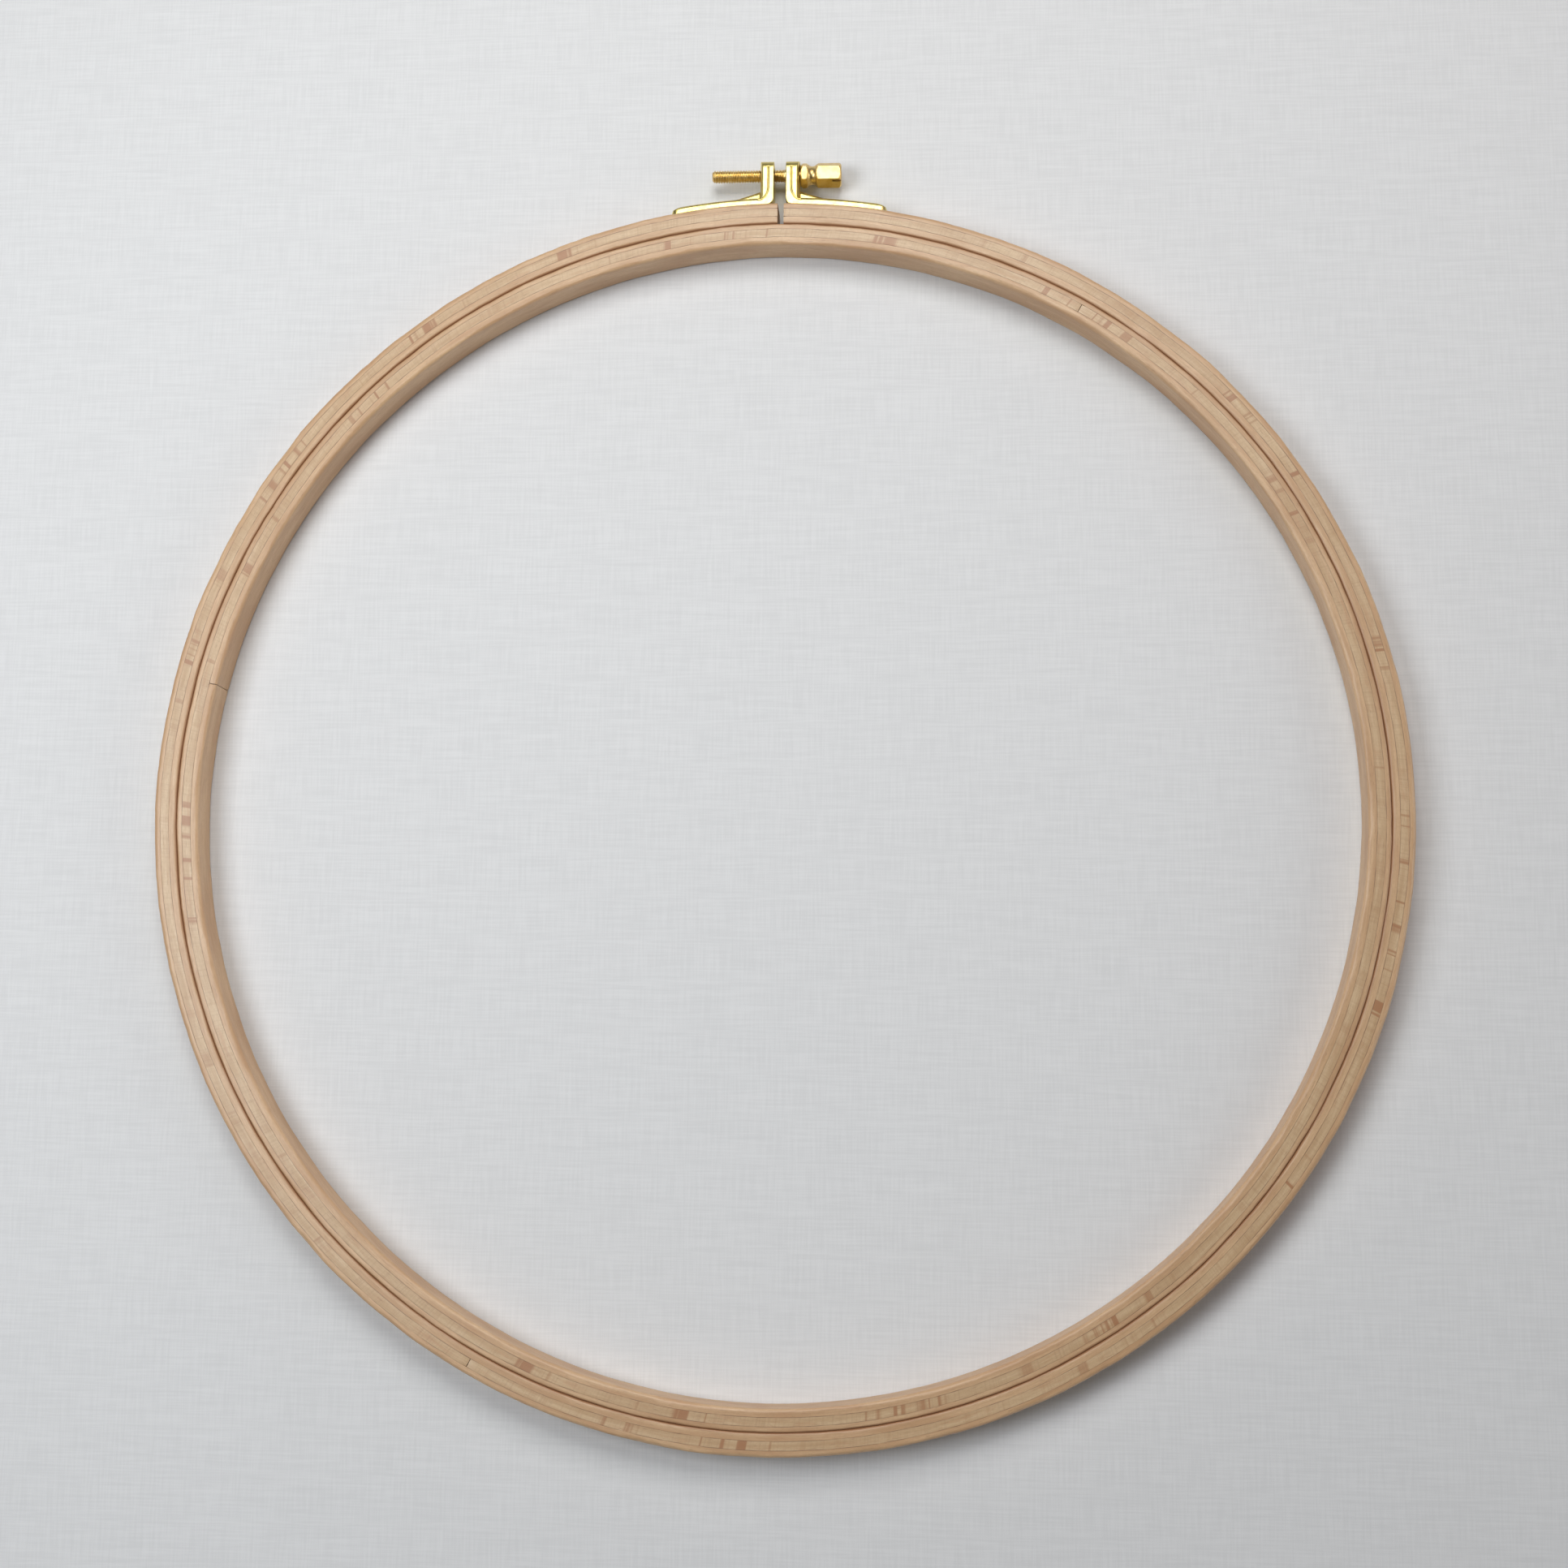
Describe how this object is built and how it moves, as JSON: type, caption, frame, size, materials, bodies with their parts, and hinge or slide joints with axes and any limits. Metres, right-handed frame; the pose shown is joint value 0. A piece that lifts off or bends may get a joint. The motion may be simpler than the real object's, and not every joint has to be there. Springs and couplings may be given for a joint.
{
  "type": "wooden double hoop frame",
  "caption": "Round wooden hoop frame: a plain laminated inner ring held in a split outer ring, which a screw clamp between folded metal brackets closes.",
  "frame": {"origin": "centre of the hoop at mid-depth", "axes": "+Z along the hoop's axis towards its front, +Y towards the screw clamp, +X towards the screw's head"},
  "size_m": [0.3166, 0.3291, 0.0096],
  "materials": {
    "beech": "fine-sanded, unvarnished",
    "bracket_brass": "bright pale brass plating",
    "screw_brass": "turned brass",
    "pin_brass": "plain brass wire"
  },
  "bodies": {
    "root": {"outer_ring_inner_ply": "beech", "outer_ring_middle_ply_long": "beech", "outer_ring_middle_ply_short": "beech", "outer_ring_outer_ply": "beech", "right_bracket": "bracket_brass", "right_bracket_pins": "pin_brass"},
    "left_clamp": {"left_bracket": "bracket_brass", "left_bracket_pins": "pin_brass"},
    "screw": {"clamp_screw": "screw_brass"},
    "inner_ring": {"inner_ring_inner_ply": "beech", "inner_ring_middle_ply": "beech", "inner_ring_outer_ply": "beech"}
  },
  "joints": [
    {"name": "screw_turn", "type": "hinge", "parent": "root", "child": "screw", "pos_m": [0, 0.16755, 0], "axis": [1, 0, 0], "range_deg": [-360, 3600]},
    {"name": "clamp_opening", "type": "slide", "parent": "root", "child": "left_clamp", "axis": [-1, 0, 0], "range_m": [-0.00069, 0.0069], "deforming": ["outer_ring_inner_ply", "outer_ring_middle_ply_long", "outer_ring_middle_ply_short", "outer_ring_outer_ply"]},
    {"name": "inner_ring_lift", "type": "slide", "parent": "root", "child": "inner_ring", "axis": [0, 0, 1], "range_m": [0, 0.03]}
  ],
  "couplings": [
    {"joint": "screw_turn", "follows": "clamp_opening", "rad_per_m": 9106.1}
  ]
}
